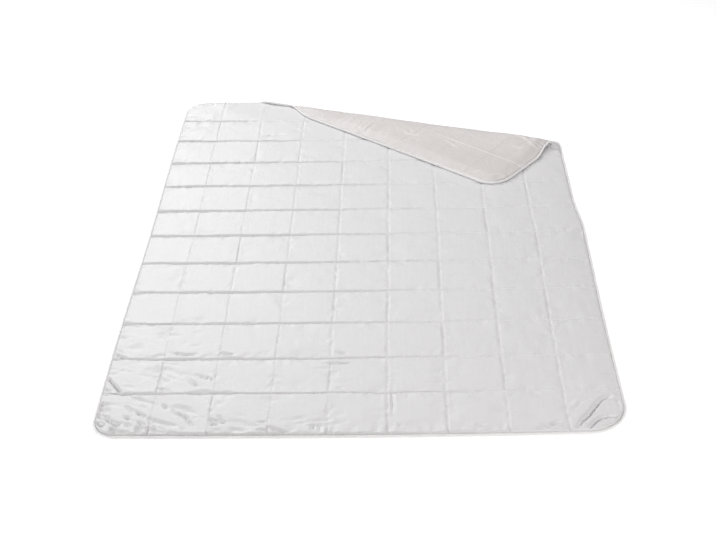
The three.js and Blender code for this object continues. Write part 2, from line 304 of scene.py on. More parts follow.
def blown_sample():
    """Heights in mm of the sample: a dome with a little noise to start it, then Blender's Cloth."""
    x, y = np.meshgrid(sample_places, sample_places)
    count = len(sample_places)
    seam = np.arange(count) % SAMPLE_STEPS == 0
    pinned = seam[:, None] | seam[None, :]
    waves = np.abs(np.sin(np.pi * x / SAMPLE_SIDE + np.pi / 2) * np.sin(np.pi * y / SAMPLE_SIDE + np.pi / 2))
    start = np.where(pinned, 0, FIRST_DOME * waves**FIRST_POWER)
    start = start + np.where(pinned, 0, np.random.default_rng(5).normal(0, FIRST_NOISE, x.shape))
    corner = (np.arange(count - 1)[:, None] * count + np.arange(count - 1)).ravel()
    mesh = bpy.data.meshes.new("sample")
    mesh.from_pydata((MM * np.stack([x, y, start], -1)).reshape(-1, 3), [],
                     np.stack([corner, corner + 1, corner + count + 1, corner + count], -1))
    sample = in_scene("sample", mesh)
    sample.vertex_groups.new(name="seams").add(np.flatnonzero(pinned).tolist(), 1.0, "REPLACE")
    cloth = sample.modifiers.new("cloth", "CLOTH")
    for name, value in {"quality": 5, "mass": 0.15, "bending_stiffness": 0.05, "vertex_group_mass": "seams",
                        "shrink_min": -CLOTH_SURPLUS, "use_pressure": True,
                        "uniform_pressure_force": PRESSURE}.items():
        setattr(cloth.settings, name, value)
    cloth.settings.effector_weights.gravity = 0
    cloth.collision_settings.use_collision = False
    cloth.point_cache.frame_start, cloth.point_cache.frame_end = 1, LAST_FRAME
    for number in range(1, LAST_FRAME + 1):
        bpy.context.scene.frame_set(number)
    shaped = sample.evaluated_get(bpy.context.evaluated_depsgraph_get())
    found = np.empty(3 * count * count, np.float32)
    shaped.data.vertices.foreach_get("co", found)
    bpy.data.objects.remove(sample)
    bpy.context.scene.frame_set(1)
    return np.clip(found.reshape(count, count, 3)[..., 2] / MM, 0, MOST_MOVED).astype(float)


sample = blown_sample()
print("the sample rises", sample.mean().round(2), "mm on average and", sample.max().round(2), "at most")

# %% [markdown]
# ## Squares from the sample
#
# A quilted square has round walls at its seams and a nearly flat middle. Each wall is a blend of a
# narrow steep quarter circle and a wide soft one, and a place is as full as the lower of its two
# grooves allows. The rows' grooves are deep at their left end, where the filling is plump, and
# shallow at the right, where the cloth is drawn tight. The columns' grooves are shallow throughout,
# and all are deep along the rim. The sample adds only its puckers, because a thin filling doesn't
# balloon: each of its squares is divided by their mean, and every square takes one of them at random.

# %% Fill the squares
SEAM_HALF = 1.6
TOP_CROWN, BOTTOM_CROWN, FLAP_BOTTOM_CROWN, FLAP_TOP_CROWN = 10.4, 13.0, 5.6, 7.2
STEEP_WALL, SOFT_WALL, RIM_WALL = 7.5, 36.0, 9.0
STEEP_NEAR_SHARE, STEEP_FAR_SHARE, STEEP_ACROSS_SHARE = 0.86, 0.3, 0.8
SHARE_CHANGE, CHANGE_START = 4.0, 1.5
ROW_GROOVE, ROW_GROOVE_AT_RIGHT, ROW_GROOVE_FALL = 1.05, 0.24, 1.8
FAR_SHARE, FAR_ROWS, FAR_START = 0.45, 5.0, 1.4
COLUMN_GROOVE, COLUMN_GROOVE_AT_RIGHT, PLUMP_AT_LEFT = 0.17, 0.31, 1.3
RIM_DEPTH_AT_LEFT, RIM_DEPTH_AT_RIGHT, RIM_DEEP_FROM, RIM_DEEP_LENGTH = 0.86, 0.78, 0.15, 0.65
DOME_SHARE, PUCKER_POWER, PUCKER_FLOOR, PUCKER_MOST, CALM_CORNER = 0.14, 0.6, 2.0, 1.25, 0.5
EDGE_BAND, FLAP_RELIEF, UNEVEN_SQUARES = 40.0, 0.35, 0.08


def resampled(count):
    """Weights that read the sample's steps in count even parts: 1 less the distance to each step."""
    places = np.linspace(0, SAMPLE_STEPS, count + 1)[:, None]
    return np.maximum(0, 1 - np.abs(places - np.arange(SAMPLE_STEPS + 1)))


def pucker_pattern(seed):
    """Each square is one of the nine, over the mean of the nine and their flips, turned at random."""
    draw = np.random.default_rng(seed)
    corners = SAMPLE_STEPS * np.arange(SAMPLE_SQUARES)
    size = SAMPLE_STEPS + 1
    nine = np.stack([sample[i:i + size, j:j + size] for i in corners for j in corners])
    usual = nine.mean(0)
    for flipped in (usual.T, usual[::-1], usual[:, ::-1]):
        usual = (usual + flipped) / 2
    found = np.ones((ROWS, COLUMNS))
    for up, rows in zip(row_starts, ROW_STEPS):
        for left, columns in zip(column_starts, COLUMN_STEPS):
            square = nine[draw.integers(len(nine))]
            square = (square + PUCKER_FLOOR) / (usual + PUCKER_FLOOR)
            if draw.random() < 0.5:
                square = square.T
            square = square[::draw.choice([-1, 1]), ::draw.choice([-1, 1])]
            here = np.s_[up:up + rows + 1, left:left + columns + 1]
            found[here] = resampled(rows) @ square @ resampled(columns).T
    return np.minimum(found, PUCKER_MOST)


def quarter_circle(t):
    """Root of 1 - (1 - t)^2, which is steep at 0 and level at 1."""
    return np.sqrt(1 - (1 - np.clip(t, 0, 1))**2)


def groove(distance, depth, steep_share, steep_wall=STEEP_WALL):
    """1 less depth times what a blend of a soft and a steep quarter circle leaves below 1."""
    wall = blend(quarter_circle(distance / SOFT_WALL), quarter_circle(distance / steep_wall), steep_share)
    return 1 - (1 - wall) * depth


def fill_squares(seed):
    """The lower of both grooves, times a low dome of sines, times the puckers to a power."""
    column, p = square_of(flat_x, column_seams)
    row, q = square_of(flat_y, row_seams)
    tight = 1 - np.clip(0.5 - flat_x / WIDTH, 0, 1)**ROW_GROOVE_FALL
    free = ease(inwards / EDGE_BAND)
    row_depth = (blend(ROW_GROOVE, ROW_GROOVE_AT_RIGHT, tight)
                 * blend(1, FAR_SHARE, ease((row + q) / FAR_ROWS - FAR_START)))
    column_depth = blend(COLUMN_GROOVE, COLUMN_GROOVE_AT_RIGHT, tight)
    rim_depth = blend(RIM_DEPTH_AT_RIGHT, RIM_DEPTH_AT_LEFT,
                      ease((RIM_DEEP_FROM - flat_x / WIDTH) / RIM_DEEP_LENGTH))
    p_side, q_side = np.minimum(p, 1 - p), np.minimum(q, 1 - q)
    across = groove(p_side * COLUMN_WIDTHS[column], blend(rim_depth, column_depth, free), STEEP_ACROSS_SHARE)
    steep_share = blend(STEEP_NEAR_SHARE, STEEP_FAR_SHARE, ease(SHARE_CHANGE * q - CHANGE_START))
    along = groove(q_side * ROW_HEIGHTS[row], blend(rim_depth, row_depth, free), steep_share,
                   STEEP_WALL + RIM_WALL * (1 - free) * (1 - tight))
    dome = 1 - DOME_SHARE * (1 - np.sin(np.pi * p) * np.sin(np.pi * q))
    plumper = (1 + UNEVEN_SQUARES * np.sin(1.9 * column + 2.7 * row)) * blend(PLUMP_AT_LEFT, 1, tight)
    power = PUCKER_POWER * ease(np.hypot(p_side, q_side) / CALM_CORNER)
    return np.minimum(across, along) * dome * plumper * pucker_pattern(seed)**power


full_top, full_bottom = fill_squares(11), fill_squares(12)
print("mean fullness of the upper cloth:", full_top.mean().round(3))

# %% [markdown]
# ## Creases and ripples
#
# Cloth that has been folded and sewn is never smooth. The marks are of four kinds. A crease is a
# sharp groove with a low ridge on either side, and each one is listed. Ripples are faint and run
# side by side. Puckers start at the corded edge, which is shorter than the cloth it holds. And
# everywhere there is a slight crumple.

# %% Kinds of marks
RIDGES = [(0.55, 1.8, 1.1), (0.35, -1.8, 1.3)]  # height, place and width, as shares of the groove's own
CREASE_END, CREASE_FADE = 0.08, 0.8
CRUMPLE = [(0.55, 85, 60), (0.4, 42, 34), (0.22, 19, 23)]  # height, and the lattice's two lengths in mm
EDGE_FADE, RIDGE_LIMIT = 9.0, 12.0


def crease(x, y, line, depth, width):
    """Groove -e^-(d/w)^2 of the distance d to a line, ridges beside it, faded along its ends."""
    line = np.reshape(line, (-1, 2)).astype(float)
    lengths = np.hypot(*np.diff(line, axis=0).T)
    nearest, across, along = np.full(np.shape(x), np.inf), 0.0, 0.0
    for start, end, length, done in zip(line[:-1], line[1:], lengths, np.cumsum(lengths) - lengths):
        run_x, run_y = (end - start) / length
        part = np.clip((x - start[0]) * run_x + (y - start[1]) * run_y, 0, length)
        off_x, off_y = x - start[0] - part * run_x, y - start[1] - part * run_y
        distance = np.hypot(off_x, off_y)
        closer = distance < nearest
        side = np.where(run_x * off_y - run_y * off_x < 0, -1, 1)
        across = np.where(closer, side * distance, across)
        along = np.where(closer, done + part, along)
        nearest = np.minimum(distance, nearest)
    total, d = lengths.sum(), across / width
    fade = np.sin(np.pi * blend(CREASE_END, 1 - CREASE_END, along / total))**CREASE_FADE
    profile = -np.exp(-d**2)
    for height, place, spread in RIDGES:
        profile = profile + height * np.exp(-((d - place) / spread)**2)
    return depth * fade * profile


def ripples(middle, size, heading, pitch, height, seed):
    """Noise five times longer along the heading than across it, under a bell e^-r^2 of the given size."""
    x, y, angle = flat_x - middle[0], flat_y - middle[1], np.radians(heading)
    u = x * np.cos(angle) + y * np.sin(angle)
    v = y * np.cos(angle) - x * np.sin(angle)
    bell = np.exp(-(x / size[0])**2 - (y / size[1])**2)
    return height * bell * soft_noise(u, v, 5 * pitch, pitch, seed)


def nearest_edge(x, y):
    """The nearest place on the rounded outline."""
    found_x, found_y = x.copy(), y.copy()
    for side_x, side_y, radius in CORNERS:
        middle_x, middle_y = side_x * (WIDTH / 2 - radius), side_y * (LENGTH / 2 - radius)
        a, b = side_x * (x - middle_x), side_y * (y - middle_y)
        here = (side_x * x >= 0) & (side_y * y >= 0)
        scale = radius / np.maximum(np.hypot(np.maximum(a, 0), np.maximum(b, 0)), 1e-6)
        corner = here & (a > 0) & (b > 0)
        found_x = np.where(corner, middle_x + side_x * a * scale, found_x)
        found_y = np.where(corner, middle_y + side_y * b * scale, found_y)
        found_x = np.where(here & ~corner & (a >= b), side_x * WIDTH / 2, found_x)
        found_y = np.where(here & ~corner & (a < b), side_y * LENGTH / 2, found_y)
    return found_x, found_y


def edge_puckers(pitch, height, reach, seed):
    """Noise of the nearest place on the outline, so that each pucker runs straight in."""
    noise = soft_noise(*nearest_edge(sewn_x, sewn_y), pitch, pitch, seed)
    return height * from_rim * ease(1 - inwards / reach) * noise


def crumple(seed):
    """Three noises, each finer and lower than the last."""
    return sum(height * soft_noise(flat_x, flat_y, length_x, length_y, seed + number)
               for number, (height, length_x, length_y) in enumerate(CRUMPLE))


def pressed_in(marks, full, at_seam, at_crown):
    """Marks end softly, as m tanh(marks / m), at the filling's depth or the ridge limit, and at the rim."""
    most = np.where(marks < 0, blend(at_seam, at_crown, np.clip(full, 0, 1)), RIDGE_LIMIT)
    return most * np.tanh(marks / most) * from_rim


from_rim = ease(inwards / EDGE_FADE)
print("the crumple's waves are", [length for _, length, _ in CRUMPLE], "mm long")

# %% [markdown]
# ## Marks on the upper cloth
#
# A crease is its depth and the places it runs through, in hundredths of a square: columns from the
# left, rows from the near edge. Ripples have a middle and a size, a heading in degrees, and a pitch and
# height in mm. The cloth is most creased at the left and near the viewer, so all marks grow that way.
# None may dig deeper than the filling, so they end softly at its depth.

# %% Marks on the upper cloth
CREASE_GAIN, CREASE_WIDTH, CREASE_WIDENING, CRUMPLE_GAIN = 1.7, 3.1, 0.55, 1.4
LEFT_GAIN, LEFT_POWER, NEAR_GAIN, NEAR_REACH, NEAR_LEFT_REACH = 1.0, 1.5, 0.95, 560.0, 260.0
CREASES = [  # depth in mm, then the column and row of each place
    # the nearest row
    (1.5, 5, 40, 20, 38), (2.5, 0, 23, 20, 23), (4.0, 2, 20, 13, 13), (3.0, 27, 30, 50, 18),
    (2.0, 50, 42, 62, 36), (2.0, 60, 55, 72, 36), (2.0, 80, 26, 93, 21), (1.5, 78, 68, 98, 55),
    (3.0, 138, 55, 158, 42, 170, 25, 180, 13), (1.5, 155, 15, 162, 7), (1.5, 183, 42, 195, 34),
    (0.8, 120, 85, 130, 65), (0.8, 112, 20, 125, 10), (2.5, 204, 22, 220, 22), (2.5, 215, 45, 228, 22),
    (1.5, 285, 28, 297, 28), (1.5, 285, 10, 297, 8), (2.5, 304, 15, 320, 8, 332, 2),
    (1.0, 340, 25, 350, 38, 363, 30), (1.2, 368, 18, 378, 18), (1.2, 378, 20, 378, 8),
    (0.7, 442, 2, 442, 95), (1.2, 510, 120, 510, 35), (1.5, 517, 6, 525, 25), (1.2, 558, 2, 562, 15),
    (1.2, 751, 3, 763, 16), (1.2, 765, 7, 787, 23), (1.5, 812, 52, 830, 70), (1.5, 890, 70, 892, 30),
    (6.5, 815, 8, 825, 24, 839, 37, 852, 56, 863, 72, 877, 80),
    (6.5, 836, 6, 847, 18, 862, 26, 878, 27, 895, 21), (2.8, 655, 20, 646, 4), (2.8, 760, 17, 752, 3),
    (2.6, 781, 20, 759, 2), (2.4, 1, 44, 28, 36), (2.6, 3, 26, 16, 17), (2.4, 15, 36, 41, 22, 50, 26),
    (2.0, 47, 47, 63, 33, 83, 26), (1.6, 50, 66, 69, 55), (2.0, 62, 56, 90, 42), (2.0, 116, 74, 128, 58),
    (1.8, 158, 41, 185, 36), (2.2, 202, 33, 227, 26),
    # the second row
    (3.5, 2, 145, 32, 105), (1.5, 2, 112, 15, 107), (1.0, 5, 170, 50, 160), (1.0, 20, 145, 60, 125),
    (1.0, 108, 155, 130, 138), (2.0, 148, 145, 174, 114), (1.8, 165, 150, 198, 137),
    (1.0, 105, 113, 113, 113), (1.8, 388, 185, 440, 184), (1.2, 370, 170, 400, 170),
    (1.0, 425, 130, 435, 125), (1.0, 415, 115, 427, 110),
    # the third row
    (3.0, 5, 213, 25, 203), (2.0, 5, 224, 22, 212), (1.0, 8, 235, 12, 230), (1.0, 8, 255, 18, 260),
    (1.0, 25, 250, 35, 245), (2.5, 105, 218, 135, 212, 160, 213), (1.8, 138, 237, 180, 232),
    (1.2, 122, 246, 138, 243), (2.5, 203, 214, 222, 212), (2.2, 410, 217, 427, 210),
    (1.0, 400, 240, 405, 242),
    # farther rows
    (0.8, 10, 740, 80, 720), (0.8, 5, 755, 30, 755), (2.5, 202, 1020, 265, 1030),
    (1.0, 205, 1005, 225, 1010), (1.2, 115, 1070, 185, 1030), (1.2, 160, 1065, 195, 1025),
    (1.2, 175, 1020, 198, 1020), (1.2, 50, 1180, 85, 1197), (1.2, 60, 1165, 90, 1185),
    (0.7, 10, 1110, 95, 1112)]
RIPPLES = [  # column, row, width and length, then heading, pitch and height
    (45, 45, 60, 50, -24, 15, 3.4), (145, 35, 55, 45, -20, 13, 2.8), (50, 145, 60, 50, -12, 14, 1.8),
    (150, 140, 60, 50, -16, 13, 1.7), (40, 250, 50, 60, 8, 12, 1.3), (150, 240, 70, 50, 4, 12, 1.4),
    (250, 30, 60, 35, -14, 12, 1.4), (360, 25, 60, 25, 12, 11, 1.0), (45, 450, 60, 160, 6, 12, 1.1),
    (850, 45, 50, 50, 24, 15, 1.5), (140, 700, 130, 160, 2, 14, 0.9), (50, 950, 50, 50, 88, 12, 0.8),
    (730, 280, 140, 190, 93, 16, 0.7), (540, 850, 190, 70, 1, 15, 0.6), (140, 850, 60, 50, 3, 13, 0.8),
    (360, 480, 130, 120, 8, 17, 0.5)]


def in_mm(places):
    """Hundredths of a square from the near left corner, in mm from the middle."""
    column, row = np.reshape(places, (-1, 2)).T / 100
    return np.stack([np.interp(column, np.arange(len(column_seams)), column_seams),
                     np.interp(row, np.arange(len(row_seams)), row_seams)], 1)


marks_top = CRUMPLE_GAIN * crumple(seed=31)
for depth, *places in CREASES:
    width = CREASE_WIDTH + CREASE_WIDENING * depth
    marks_top += crease(flat_x, flat_y, in_mm(places), CREASE_GAIN * depth, width)
for number, (column, row, wide, long, heading, pitch, height) in enumerate(RIPPLES):
    size = np.array([wide, long]) / 100 * SAMPLE_SIDE
    marks_top += ripples(in_mm([column, row])[0], size, heading, pitch, height, 50 + number)
marks_top += edge_puckers(pitch=12, height=2.2, reach=46, seed=61)
near_left = ease(1 - np.hypot(flat_x + WIDTH / 2, flat_y + LENGTH / 2) / NEAR_LEFT_REACH)
marks_top += near_left * edge_puckers(pitch=17, height=5.5, reach=70, seed=62)
marks_top *= 1 + LEFT_GAIN * np.clip(0.5 - flat_x / WIDTH, 0, 1)**LEFT_POWER
marks_top *= 1 + NEAR_GAIN * ease(1 - (flat_y + LENGTH / 2) / NEAR_REACH)
marks_top = pressed_in(marks_top, full_top, at_seam=1.8, at_crown=13.0)
print(len(CREASES), "creases; the marks go from", marks_top.min().round(1), "to",
      marks_top.max().round(1), "mm")

# %% [markdown]
# ## Two faces
#
# Each face is the middle layer of the cloth plus its rise. In the fold the filling is pressed
# together, and the turned corner lies almost flat. Its creases are placed in mm in the room, where
# they were seen. A negative depth is a ridge, which gets a painted highlight: the material reads
# that from the mesh.
# Under the rim of the turned corner its hidden face still dips up to 2.6 mm into the cloth below.

# %% Two faces
SEAM_WOBBLE, WOBBLE_LENGTH = 1.6, 75.0
FLAP_CREASE_GAIN, FLAP_CREASE_WIDTH, RIDGE_HIGHLIGHT_FULLY = 1.5, 5.5, 2.0


def cloth_face(upper, full, marks):
    """A face's points: its rise from the middle layer is half a seam, plus fullness, plus marks."""
    free = ease(inwards / EDGE_BAND)
    wobble_x, wobble_y = [SEAM_WOBBLE * free * soft_noise(flat_x, flat_y, WOBBLE_LENGTH, WOBBLE_LENGTH, seed)
                          for seed in (21, 22)]
    laid = lay_down(sewn_x + wobble_x, sewn_y + wobble_y)
    along, radius, _, _, _, turn, _, apart = fold_place(*laid)
    turned = ease(2 * turn / np.pi)
    if upper:
        rise = SEAM_HALF + (blend(TOP_CROWN, FLAP_TOP_CROWN, turned) - SEAM_HALF) * full + marks
        room = apart * blend(LAID_SHARE, FLAP_SHARE, turned)
        in_roll = np.minimum(rise, radius * ROLL_SHARE)
        held = blend(np.minimum(rise, room), in_roll, np.sin(turn) ** 2)
        rise = blend(rise, held, ease((along - ROLL_START) / FLAP_TOP_SPREAD + 1))
    else:
        full = 1 - (1 - full) * blend(1, FLAP_RELIEF, turned * free)
        rise = -SEAM_HALF - (blend(BOTTOM_CROWN, FLAP_BOTTOM_CROWN, turned) - SEAM_HALF) * full - marks
    return fold_over(*laid, rise, inwards)


FLAP_CREASES = [  # depth, then x and y of each place
    (2.0, -115, 765, -81, 813), (2.0, -83, 747, -50, 820), (2.6, -59, 706, -12, 802),
    (2.4, -11, 705, 33, 784), (2.0, 50, 628, 68, 718), (1.8, 107, 657, 95, 757),
    (1.6, 166, 655, 205, 700), (1.6, 166, 655, 150, 715), (1.4, 166, 655, 214, 640),
    (1.4, 166, 655, 128, 628), (-1.8, 573, 612, 621, 549, 643, 530), (-1.4, 619, 592, 674, 547),
    (-1.4, 544, 552, 566, 533, 585, 544), (-1.5, 448, 357, 483, 361, 526, 326),
    (-1.0, 380, 376, 416, 392), (-1.4, 296, 615, 341, 553), (-1.4, 120, 713, 170, 659, 194, 667)]

smooth_bottom = cloth_face(False, full_bottom, np.zeros_like(flat_x))
room_x, room_y = smooth_bottom[..., 0], smooth_bottom[..., 1]
turned_over = how_far_round > np.pi / 2
marks_flap = crumple(seed=41)
ridge_highlight = np.zeros_like(flat_x)
# The turned corner's ridges are kept as a share, for a painted highlight in the material.
for depth, *places in FLAP_CREASES:
    pressed = crease(room_x, room_y, places, FLAP_CREASE_GAIN * depth, FLAP_CREASE_WIDTH)
    marks_flap += pressed
    ridge_highlight += np.maximum(pressed, 0) * turned_over
marks_flap += edge_puckers(pitch=15, height=1.5, reach=45, seed=63)
marks_flap = pressed_in(marks_flap, full_bottom, at_seam=0.8, at_crown=3.5)
top = cloth_face(True, full_top, marks_top)
bottom = cloth_face(False, full_bottom, marks_flap * turned_over)
print("the lower face starts at", bottom[..., 2].min().round(2), "mm, the upper one ends at",
      top[..., 2].max().round(1))

# %% [markdown]
# ## One closed skin
#
# The two faces and the narrow wall between them make one closed mesh. The lower face is fine only
# where the corner shows it; the squares on the floor take every third step. A face there keeps the
# small steps only on a side that meets fine cloth, so the skin has no gaps.

# %% Faces of the skin
COARSE = 3


def cell_outlines(first_row, first_column, stride):
    """The indices of the points round each cell, counter-clockwise."""
    steps = np.arange(stride)
    along = np.concatenate([steps, np.full(stride, stride), stride - steps, np.zeros(stride, int)])
    up = np.roll(along, stride)
    return (first_row[:, None] + up) * COLUMNS + first_column[:, None] + along


def square_numbers(steps):
    """The square that each step lies in, counted from 1, with one more step before and after."""
    return np.concatenate([[0], 1 + np.repeat(np.arange(len(steps)), steps), [len(steps) + 1]])


def ring_edge(grid):
    """The points of a grid's outer edge, once round."""
    return np.concatenate([grid[0, :-1], grid[:-1, -1], grid[-1, :0:-1], grid[:0:-1, 0]])


def skin_faces(fine_squares):
    """Point indices of all faces, and how many each has. Lower points are numbered after the upper."""
    row_of, column_of = square_numbers(ROW_STEPS), square_numbers(COLUMN_STEPS)
    framed = np.pad(fine_squares, 1, constant_values=True)
    r, c = [g.ravel() for g in np.mgrid[0:ROWS - 1, 0:COLUMNS - 1]]
    upper = cell_outlines(r, c, 1)
    in_fine = framed[row_of[r + 1], column_of[c + 1]]
    lower_fine = cell_outlines(r[in_fine], c[in_fine], 1)[:, ::-1]
    r, c = [g.ravel() for g in np.mgrid[0:ROWS - 1:COARSE, 0:COLUMNS - 1:COARSE]]
    coarse = ~framed[row_of[r + 1], column_of[c + 1]]
    r, c = r[coarse], c[coarse]
    rings = cell_outlines(r, c, COARSE)
    beside = [framed[row_of[r + 1 + dr], column_of[c + 1 + dc]]
              for dr, dc in ((-1, 0), (0, COARSE), (COARSE, 0), (0, -1))]
    kept = np.repeat(np.stack(beside, 1), COARSE, axis=1)
    kept[:, ::COARSE] = True
    rings, kept = rings[:, ::-1], kept[:, ::-1]
    offset = ROWS * COLUMNS
    rim = ring_edge(np.arange(offset).reshape(ROWS, COLUMNS))
    after = np.roll(rim, -1)
    wall = np.stack([rim + offset, after + offset, after, rim], 1)
    lower = np.concatenate([lower_fine.ravel(), rings[kept]]) + offset
    indices = np.concatenate([upper.ravel(), lower, wall.ravel()])
    totals = np.concatenate([np.full(len(upper) + len(lower_fine), 4), kept.sum(1), np.full(len(wall), 4)])
    return indices, totals


by_row = np.maximum.reduceat(how_far_round[:-1, :-1], row_starts[:-1], axis=0)
fine_squares = np.maximum.reduceat(by_row, column_starts[:-1], axis=1) > 0
print("squares whose lower face shows:", int(fine_squares.sum()))
indices, totals = skin_faces(fine_squares)
print("faces:", len(totals), "triangles:", int((totals - 2).sum()))


def new_mesh(name, points, indices, totals, uvs):
    """A piece from points in metres, runs of point indices, and a UV of each point."""
    used, indices = np.unique(indices, return_inverse=True)
    mesh = bpy.data.meshes.new(name)
    mesh.vertices.add(len(used))
    mesh.vertices.foreach_set("co", points[used].astype(np.float32).ravel())
    mesh.loops.add(len(indices))
    mesh.loops.foreach_set("vertex_index", indices.astype(np.int32))
    mesh.polygons.add(len(totals))
    starts = np.concatenate([[0], np.cumsum(totals)[:-1]])
    mesh.polygons.foreach_set("loop_start", starts.astype(np.int32))
    for uv_name, uv in uvs.items():
        layer = mesh.uv_layers.new(name=uv_name)
        layer.data.foreach_set("uv", uv[used][indices].astype(np.float32).ravel())
    mesh.update(calc_edges=True)
    mesh.validate()
    mesh.shade_smooth()
    return in_scene(name, mesh)


# %% [markdown]
# ## Where the duvet stands
#
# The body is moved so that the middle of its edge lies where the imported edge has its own. The narrow
# wall meets both faces at a right angle, and is marked sharp there, so that smooth shading draws no
# dark line along the rim.

# %% Body
RIM_SHARPNESS = 60.0
centre = ring_edge((top + bottom) / 2)
packed_low, packed_high = (np.array(corner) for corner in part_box("corded_edge"))
shift = (packed_low + packed_high) / 2 - MM * (centre.min(0) + centre.max(0)) / 2
shift[2] = 0
print("moved by", (shift / MM).round(2), "mm")

cloth_uv = MM * np.stack([flat_x, flat_y], -1).reshape(-1, 2)
column, p = square_of(flat_x, column_seams)
row, q = square_of(flat_y, row_seams)
square_uv = np.stack([column + p, row + q], -1).reshape(-1, 2)
body_points = MM * np.concatenate([top.reshape(-1, 3), bottom.reshape(-1, 3)]) + shift
body = new_mesh("quilted_body_cloth", body_points, indices, totals,
                {"cloth": np.tile(cloth_uv, (2, 1)), "squares": np.tile(square_uv, (2, 1))})
flat = np.zeros(flat_x.size)
ridge_highlight_share = np.minimum(ridge_highlight.ravel() / RIDGE_HIGHLIGHT_FULLY, 1)
for name, values in (("lower_cloth", [flat, flat + 1]), ("ridge_highlight", [flat, ridge_highlight_share])):
    attribute = body.data.attributes.new(name, "FLOAT", "POINT")
    attribute.data.foreach_set("value", np.concatenate(values)[np.unique(indices)].astype(np.float32))
body.data.set_sharp_from_angle(angle=np.radians(RIM_SHARPNESS))
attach(body, "root")
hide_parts("quilted_body")

# %% [markdown]
# ## The corded edge
#
# A cord wrapped in a strip of cloth is sewn round the edge. It is a circle carried along the edge of
# the body, in the frame that the edge's run, its outward side and its upright make at each step.

# %% Corded edge
CORD_DIAMETER, CORD_GAP, CORD_SIDES = 8.0, 0.3, 12


def unit(vectors):
    """Each vector over its own length."""
    return vectors / np.maximum(np.linalg.norm(vectors, axis=-1, keepdims=True), 1e-9)


def lengths_to(line):
    """The running sum of the distances between the points of a line."""
    return np.concatenate([[0], np.cumsum(np.linalg.norm(np.diff(line, axis=0), axis=1))])


half_wall = ring_edge(top - bottom) / 2
run = unit(np.roll(centre, -1, axis=0) - np.roll(centre, 1, axis=0))
outward = unit(np.cross(run, unit(half_wall)))
upward = np.cross(outward, run)
around = np.linspace(0, 2 * np.pi, CORD_SIDES, endpoint=False)
radius = CORD_DIAMETER / 2
tube = (centre[:, None]
        + outward[:, None] * (CORD_GAP + radius * (1 + np.cos(around)))[None, :, None]
        + upward[:, None] * (radius * np.sin(around))[None, :, None])
steps_round = len(centre)
length_along = lengths_to(centre)
a, b = [g.ravel() for g in np.mgrid[0:steps_round, 0:CORD_SIDES]]
a_next, b_next = (a + 1) % steps_round, (b + 1) % CORD_SIDES
quads = np.stack([a * CORD_SIDES + b, a_next * CORD_SIDES + b,
                  a_next * CORD_SIDES + b_next, a * CORD_SIDES + b_next], 1)
tube_uv = MM * np.stack(np.broadcast_arrays(length_along[:, None], radius * around[None]), -1).reshape(-1, 2)
edge = new_mesh("corded_edge_cloth", MM * tube.reshape(-1, 3) + shift, quads.ravel(),
                np.full(len(quads), 4), {"cloth": tube_uv})
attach(edge, "root")
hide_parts("corded_edge")
print("the edge that the cord follows is", round(MM * length_along[-1], 2), "m long")

# %% [markdown]
# ## The thread
#
# The squares are sewn with a lockstitch, so a row of short thread loops lies in every groove, on
# both faces. One stitch is a four-sided bar of three rings, thin where it dives into the cloth. It
# is repeated with numpy at even steps along each seam of the finished face.

# %% Thread
STITCH_PITCH, STITCH_LENGTH, THREAD_RADIUS = 4.1, 3.2, 0.5
RING_PLACES = np.array([-0.5, 0.0, 0.5])
RING_SIZES = np.array([0.35, 1.0, 0.35])
RING_LIFTS = np.array([-0.35, 0.25, -0.35])


def face_normals(face, outward):
    """The cross product of the differences along the two grid directions, made one long."""
    return unit(outward * np.cross(np.gradient(face, axis=1), np.gradient(face, axis=0)))


def sewn_line(line, normal):
    """The points of all stitches on one line: (stitches, rings, 4 corners, xyz), in mm."""
    length = lengths_to(line)
    count = int(length[-1] // STITCH_PITCH)
    middles = (np.arange(count) + 0.5) * length[-1] / count

    def at(values, places):
        """The values at places in mm along the line."""
        return np.stack([np.interp(places, length, values[:, k]) for k in range(3)], -1)

    places = middles[:, None] + STITCH_LENGTH * RING_PLACES
    upward = at(normal, middles)
    across = np.cross(unit(at(line, middles + 1) - at(line, middles - 1)), upward)
    rings = at(line, places) + upward[:, None] * RING_LIFTS[:, None]
    corners = np.stack([across, upward, -across, -upward], 1)
    return rings[:, :, None] + THREAD_RADIUS * RING_SIZES[:, None, None] * corners[:, None]


def sew(name, face, outward):
    """All seams of a face between the outer edges, as one mesh of separate stitches."""
    normal = face_normals(face, outward)
    lines = [(face[r], normal[r]) for r in row_starts[1:-1]]
    lines += [(face[:, c], normal[:, c]) for c in column_starts[1:-1]]
    loops = np.concatenate([sewn_line(*line) for line in lines])
    count = len(loops)
    corner = np.arange(4)
    after = (corner + 1) % 4
    sides = np.stack([corner, after, after + 4, corner + 4], 1)
    quads = np.concatenate([sides, sides + 4, [[3, 2, 1, 0], [8, 9, 10, 11]]])
    indices = (12 * np.arange(count)[:, None, None] + quads).ravel()
    points = MM * loops.reshape(-1, 3)
    thread = new_mesh(name, points + shift, indices, np.full(len(indices) // 4, 4), {"cloth": points[:, :2]})
    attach(thread, "root")
    print(name, "has", count, "stitches and", len(indices) // 2, "triangles")
    return thread


upper_thread = sew("upper_thread", top, 1)
lower_thread = sew("lower_thread", bottom, -1)

# %% [markdown]
# ## Cloth materials
#
# Cloth is threads, so its materials start from the weave. All patterns read the piece's own UV maps:
# one in metres along and across the cloth, and one that counts squares. The helper below makes, sets
# and links a node in one line, so that a material reads as a list of its layers.

